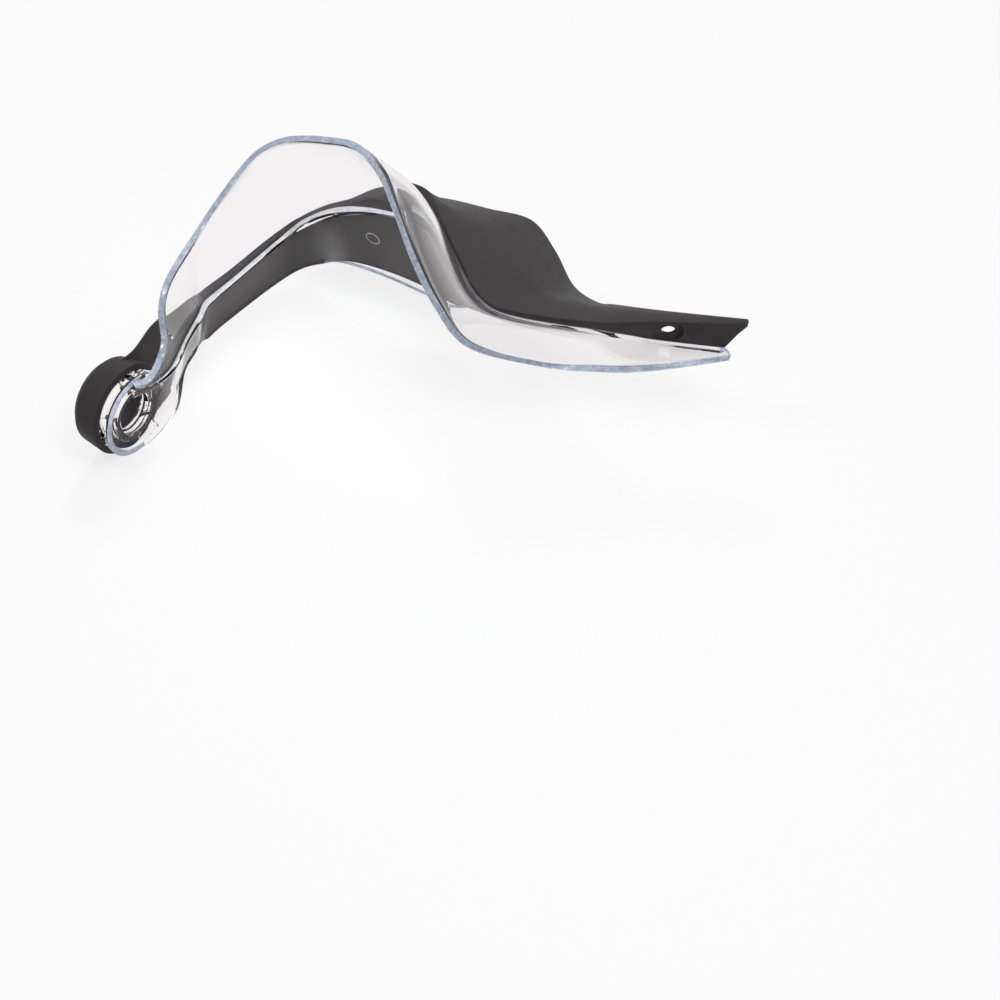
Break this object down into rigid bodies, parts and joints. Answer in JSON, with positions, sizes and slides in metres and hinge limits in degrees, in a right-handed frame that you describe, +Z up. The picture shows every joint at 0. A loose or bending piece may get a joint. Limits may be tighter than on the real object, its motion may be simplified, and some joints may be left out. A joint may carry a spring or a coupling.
{
  "type": "motorcycle hand guard",
  "caption": "Left-hand motorcycle hand guard: a black moulded shell with a bar-end ring and a hooded front, and a clear wind deflector nested inside it and standing above it.",
  "frame": {"origin": "middle of the clamped web inside the bar-end ring, on the ring's axis", "axes": "+X inward along the bar-end ring's axis, +Y forward, away from the rider, +Z up as the guard lies in the picture"},
  "size_m": [0.2554, 0.2015, 0.1249],
  "materials": {
    "shell_plastic": "satin",
    "clear_sheet": "clear"
  },
  "bodies": {
    "root": {"guard_shell": "shell_plastic", "wind_deflector": "clear_sheet"}
  },
  "joints": []
}
